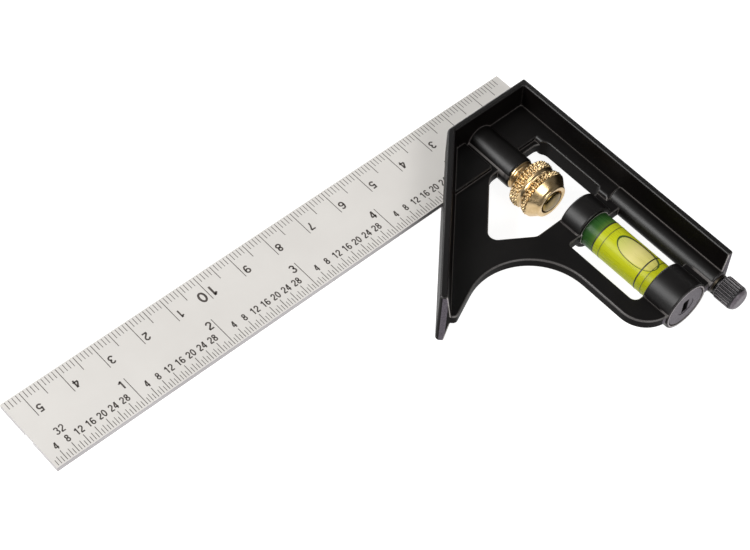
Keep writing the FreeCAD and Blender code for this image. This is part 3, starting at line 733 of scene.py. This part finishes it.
def thread_radius(angle, radius, y):
    """The bolt's surface, with a rolled thread between its tip and the plain part of its shank."""
    pitch = 0.8
    thread_depth = 0.42
    least_radius = 1.9
    if y < bolt_low[1] + TIP_LENGTH or radius < least_radius or y > THREAD_TOP:
        return radius
    phase = (y / pitch + angle / (2 * math.pi)) % 1.0
    return radius - thread_depth * abs(2 * phase - 1)


def add_half_round(build, low, high, top):
    """A bar along Y, round below and cut flat at the height top: what is higher is brought down to it, and
    the vertices that then meet are merged."""
    radius = (bolt_high[0] - bolt_low[0]) / 2
    segments = 96
    bar = bmesh.new()
    rings = []
    for y in (low, high):
        ring = []
        for step in range(segments):
            angle = 2 * math.pi * step / segments
            height = min(MIDDLE + radius * math.sin(angle), top)
            ring.append(bar.verts.new((LOCK_X + radius * math.cos(angle), y, height)))
        rings.append(ring)
    for ring in rings:
        bar.faces.new(ring)
    band_of_faces(bar, *rings)
    bmesh.ops.remove_doubles(bar, verts=bar.verts, dist=0.0001)
    bmesh.ops.recalc_face_normals(bar, faces=bar.faces)
    mesh = bpy.data.meshes.new("bar")
    bar.to_mesh(mesh)
    bar.free()
    build.from_mesh(mesh)
    bpy.data.meshes.remove(mesh)


def make_bolt():
    """The bolt: a peened tip, a thread on its shank, a shoulder, and a half-round head with the lip that
    hooks the rule."""
    low, high = bolt_low[1], bolt_high[1]
    outline = [
        (0, low), (1.1, low + 0.02), (1.9, low + 0.08), (2.5, low + 0.19), (2.85, low + 0.34),
        (3.0, low + 0.54), (3.0, low + 0.76), (SHANK_RADIUS, low + TIP_LENGTH), (SHANK_RADIUS, THREAD_TOP),
        (SHANK_RADIUS, SHOULDER_LOW + 0.1), (0, SHOULDER_LOW + 0.1),
    ]
    shank = lathe(dense(outline, 0.09), LOCK_X, 96, thread_radius)
    build = bmesh.new()
    build.from_mesh(shank)
    above_all = bolt_high[2] + 1.0
    rule_back = blade_low[2]
    add_half_round(build, SHOULDER_LOW, HEAD_LOW, above_all)
    add_half_round(build, HEAD_LOW, LIP_LOW, rule_back - 0.05)
    add_half_round(build, LIP_LOW, high, rule_back + 0.6)
    mesh = to_mesh(build, 50.0)
    add_piece("lock_bolt_threaded", mesh, SHADED_BOLT_BRASS, "bolt", ["lock_bolt"])


make_bolt()
make_nut()


# ---- level ----

VIAL_RADIUS = (vial_high[0] - vial_low[0]) / 2
VIAL_SURFACE = VIAL_RADIUS - 0.03
BUBBLE_Y = -20.5
BUBBLE_HALF_LENGTH = 6.2
BUBBLE_MIDDLE_DEGREES = 93.0
BUBBLE_HALF_DEGREES = 38.0
BUBBLE_STEPS = 96
UPPER_RING_Y = -10.2
LOWER_RING_Y = -24.2
RING_WIDTH = 0.34
FAINT_DROP = 2.0
FAINT_WIDTH = 0.16
VIAL_STEPS = 128


def make_level():
    """The clear barrel and its fluid as one solid body."""
    radius = VIAL_SURFACE
    low, high = vial_low[1], vial_high[1]
    outline = [
        (0, low), (radius - 0.25, low), (radius, low + 0.25),
        (radius, high - 0.6), (radius - 0.6, high), (0, high),
    ]
    mesh = lathe(dense(outline, 1.2), LEVEL_X, VIAL_STEPS)
    replaced = ["vial_barrel", "vial_liquid", "vial_plug"]
    add_piece("level_vial", mesh, FLUID, "head", replaced)


def bubble_ring(build, radius, across_size, along_size, across_shift=0.0, along_shift=0.0):
    """A ring of vertices on the vial at this radius. It follows the bubble's outline, made smaller or
    larger and shifted, in parts of the bubble's half width and half length."""
    ring = []
    for step in range(BUBBLE_STEPS):
        turn = 2 * math.pi * step / BUBBLE_STEPS
        across = math.cos(turn) * across_size + across_shift
        bulged = math.copysign(abs(math.sin(turn)) ** 0.85, math.sin(turn))
        along = bulged * along_size + along_shift
        angle = math.radians(BUBBLE_MIDDLE_DEGREES - BUBBLE_HALF_DEGREES * across)
        place = (LEVEL_X + radius * math.cos(angle), BUBBLE_Y + BUBBLE_HALF_LENGTH * along,
                 MIDDLE + radius * math.sin(angle))
        ring.append(build.verts.new(place))
    return ring


def make_bubble():
    """The bubble: a low dome let into the vial's surface."""
    rise = 0.03
    build = bmesh.new()
    under = bubble_ring(build, VIAL_SURFACE - 0.3, 1.0, 1.0)
    rings = [under]
    for size in (1.0, 0.85, 0.7, 0.5, 0.25):
        rings.append(bubble_ring(build, VIAL_SURFACE + rise * (1 - size ** 2), size, size))
    angle = math.radians(BUBBLE_MIDDLE_DEGREES)
    reach = VIAL_SURFACE + rise
    peak = build.verts.new((LEVEL_X + reach * math.cos(angle), BUBBLE_Y, MIDDLE + reach * math.sin(angle)))
    for outer, inner in zip(rings, rings[1:]):
        band_of_faces(build, outer, inner)
    fan_of_faces(build, rings[-1], peak)
    build.faces.new(under)
    bmesh.ops.recalc_face_normals(build, faces=build.faces)
    add_piece("level_bubble", to_mesh(build), BUBBLE, "head")


def make_bubble_rim():
    """The bubble's dark rim, which is widest on its right side."""
    bottom = VIAL_SURFACE - 0.2
    outer_top = VIAL_SURFACE + 0.03
    inner_top = VIAL_SURFACE + 0.055
    size = 1.02
    outer = (size, size)
    inner = (0.87 * size, 0.94 * size, -0.075, -0.015)
    build = bmesh.new()
    loops = [
        bubble_ring(build, bottom, *outer),
        bubble_ring(build, outer_top, *outer),
        bubble_ring(build, inner_top, *inner),
        bubble_ring(build, bottom, *inner),
    ]
    for first, second in zip(loops, loops[1:] + loops[:1]):
        band_of_faces(build, first, second)
    bmesh.ops.recalc_face_normals(build, faces=build.faces)
    add_piece("level_bubble_rim", to_mesh(build), BUBBLE_RIM, "head")


def add_ring(name, y, width, material):
    """A thin printed ring round the vial."""
    outer = VIAL_RADIUS + 0.005
    inner = outer - 0.1
    low, high = y - width / 2, y + width / 2
    mesh = lathe([(inner, low), (outer, low), (outer, high), (inner, high)], LEVEL_X, VIAL_STEPS)
    add_piece(name, mesh, material, "head")


make_level()
make_bubble()
make_bubble_rim()
for place, ring_y in (("upper", UPPER_RING_Y), ("lower", LOWER_RING_Y)):
    add_ring(f"level_ring_{place}", ring_y, RING_WIDTH, LINE)
    add_ring(f"level_ring_{place}_faint", ring_y - FAINT_DROP, FAINT_WIDTH, FAINT_LINE)


# ---- scriber knob ----

DOME_TOP = knob_low[1] + 1.4
RIBS_LOW = knob_low[1] + 1.0
RIBS_HIGH = knob_high[1] - 0.75
NEEDLE_HOLE_RADIUS = 1.21


def knob_radius(angle, radius, y):
    """The knob's surface, with straight ribs that run out before its domed end."""
    ribs = 24
    rib_depth = 0.36
    neck_radius = 2.6
    if RIBS_LOW < y < RIBS_HIGH and radius > neck_radius:
        edge = min(1.0, (y - RIBS_LOW) / 0.7, (RIBS_HIGH - y) / 0.2)
        return radius - rib_depth * edge * math.sqrt(0.5 - 0.5 * math.cos(ribs * angle))
    return radius


def make_knob():
    """The knob: a blind hole for the needle, a short neck, a ribbed barrel and a domed end."""
    top, low = knob_high[1], knob_low[1]
    big = (knob_high[0] - knob_low[0]) / 2
    outline = [
        (NEEDLE_HOLE_RADIUS, low + 1.3), (NEEDLE_HOLE_RADIUS, top), (2.1, top), (2.2, top - 0.12),
        (2.2, top - 0.55), (big - 0.25, top - 0.6), (big, top - 0.85), (big, DOME_TOP),
        (big - 0.12, DOME_TOP - 0.35), (big - 0.45, DOME_TOP - 0.95), (big - 0.95, low + 0.08),
        (1.6, low), (0.9, low + 0.02),
    ]
    smooth = [(0, low + 1.3)] + dense(rounded(outline, 0.18), 0.25) + [(0, low + 0.03)]
    mesh = lathe(smooth, SCRIBER_X, 336, knob_radius)
    add_piece("scriber_knob_ribbed", mesh, knob_black(), "scriber", ["scriber_knob"])


make_knob()


# ---- CAD nodes that stay ----

for name, material in (
    ("head_casting", head_paint()),
    ("blade", rule_steel()),
    ("lock_spring", spring_wire()),
    ("vial_end_cap", cap_metal()),
    ("scriber_bush", SHADED_BUSH_BRASS),
    ("scriber_needle", needle_steel()),
):
    paint(nodes[name], material)


# ---- camera, floor, light, in metres ----

CAMERA_PLACE = (-0.181198, -0.175932, 0.381812)
CAMERA_DEGREES = (36.1383, -2.3329, -41.7030)
FLOOR_HALF = 3.0
FLOOR_DROP = 0.00002
LIGHT_TARGET = Vector((0.02, 0, 0.01))
LIGHT_DISTANCE = 2.4


def add_camera():
    """At the angle and distance that the square is shown from."""
    data = bpy.data.cameras.new("camera")
    data.sensor_width = 36.0
    data.lens = 93.17
    data.clip_start = 0.01
    data.clip_end = 10.0
    camera = new_object("camera", data)
    camera.location = CAMERA_PLACE
    camera.rotation_euler = [math.radians(turn) for turn in CAMERA_DEGREES]
    bpy.context.scene.camera = camera


def add_floor():
    """A square floor just under the object."""
    build = bmesh.new()
    corners = [(-1, -1), (1, -1), (1, 1), (-1, 1)]
    build.faces.new([build.verts.new((x * FLOOR_HALF, y * FLOOR_HALF, -FLOOR_DROP)) for x, y in corners])
    floor = new_object("floor", to_mesh(build))
    paint(floor, floor_white())


def add_light(name, direction, size, power):
    """A soft rectangular light of this size and power in watts, that looks at the head from a direction."""
    data = bpy.data.lights.new(name, "AREA")
    data.shape = "RECTANGLE"
    data.size, data.size_y = size
    data.energy = power
    light = new_object(name, data)
    away = Vector(direction).normalized()
    light.location = LIGHT_TARGET + away * LIGHT_DISTANCE
    light.rotation_euler = away.to_track_quat("Z", "Y").to_euler()


def add_world():
    world = bpy.data.worlds.new("studio")
    bpy.context.scene.world = world
    world.use_nodes = True
    background = world.node_tree.nodes["Background"]
    background.inputs["Color"].default_value = (*WHITE, 1.0)
    background.inputs["Strength"].default_value = 0.14


bpy.context.scene.view_settings.view_transform = "Standard"
add_camera()
add_floor()
add_world()
add_light("key", (-0.66, 0.42, 0.63), (1.2, 1.2), 52.0)
add_light("front", (-0.1, -0.85, 0.52), (1.2, 0.7), 28.0)
add_light("back", (0.66, 0.72, 0.12), (1.8, 0.4), 30.0)
add_light("rear", (0.1, 0.86, 0.5), (1.2, 1.0), 20.0)
